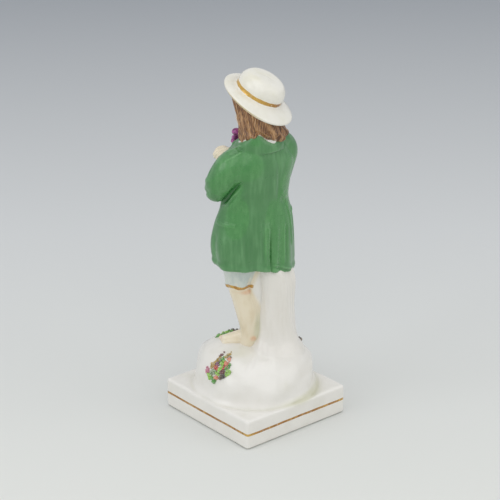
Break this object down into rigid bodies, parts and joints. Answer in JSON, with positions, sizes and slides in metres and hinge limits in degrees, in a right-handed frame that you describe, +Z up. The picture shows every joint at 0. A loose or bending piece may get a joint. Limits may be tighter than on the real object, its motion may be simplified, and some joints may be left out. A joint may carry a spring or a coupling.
{
  "type": "pottery figure",
  "caption": "Small glazed pottery figure of a standing man in a coat and brimmed hat, on a rocky mound with a tree stump and a square plinth.",
  "frame": {"origin": "middle of the plinth's underside", "axes": "+Z up, the figure faces -Y, its left hand is towards +X"},
  "size_m": [0.053, 0.053, 0.1487],
  "materials": {
    "painted_glaze": "clear glaze over a white body, painted in green, brown, cream, grey and purple enamels with gilt lines"
  },
  "bodies": {
    "root": {"staffordshire_figure": "painted_glaze"}
  },
  "joints": []
}
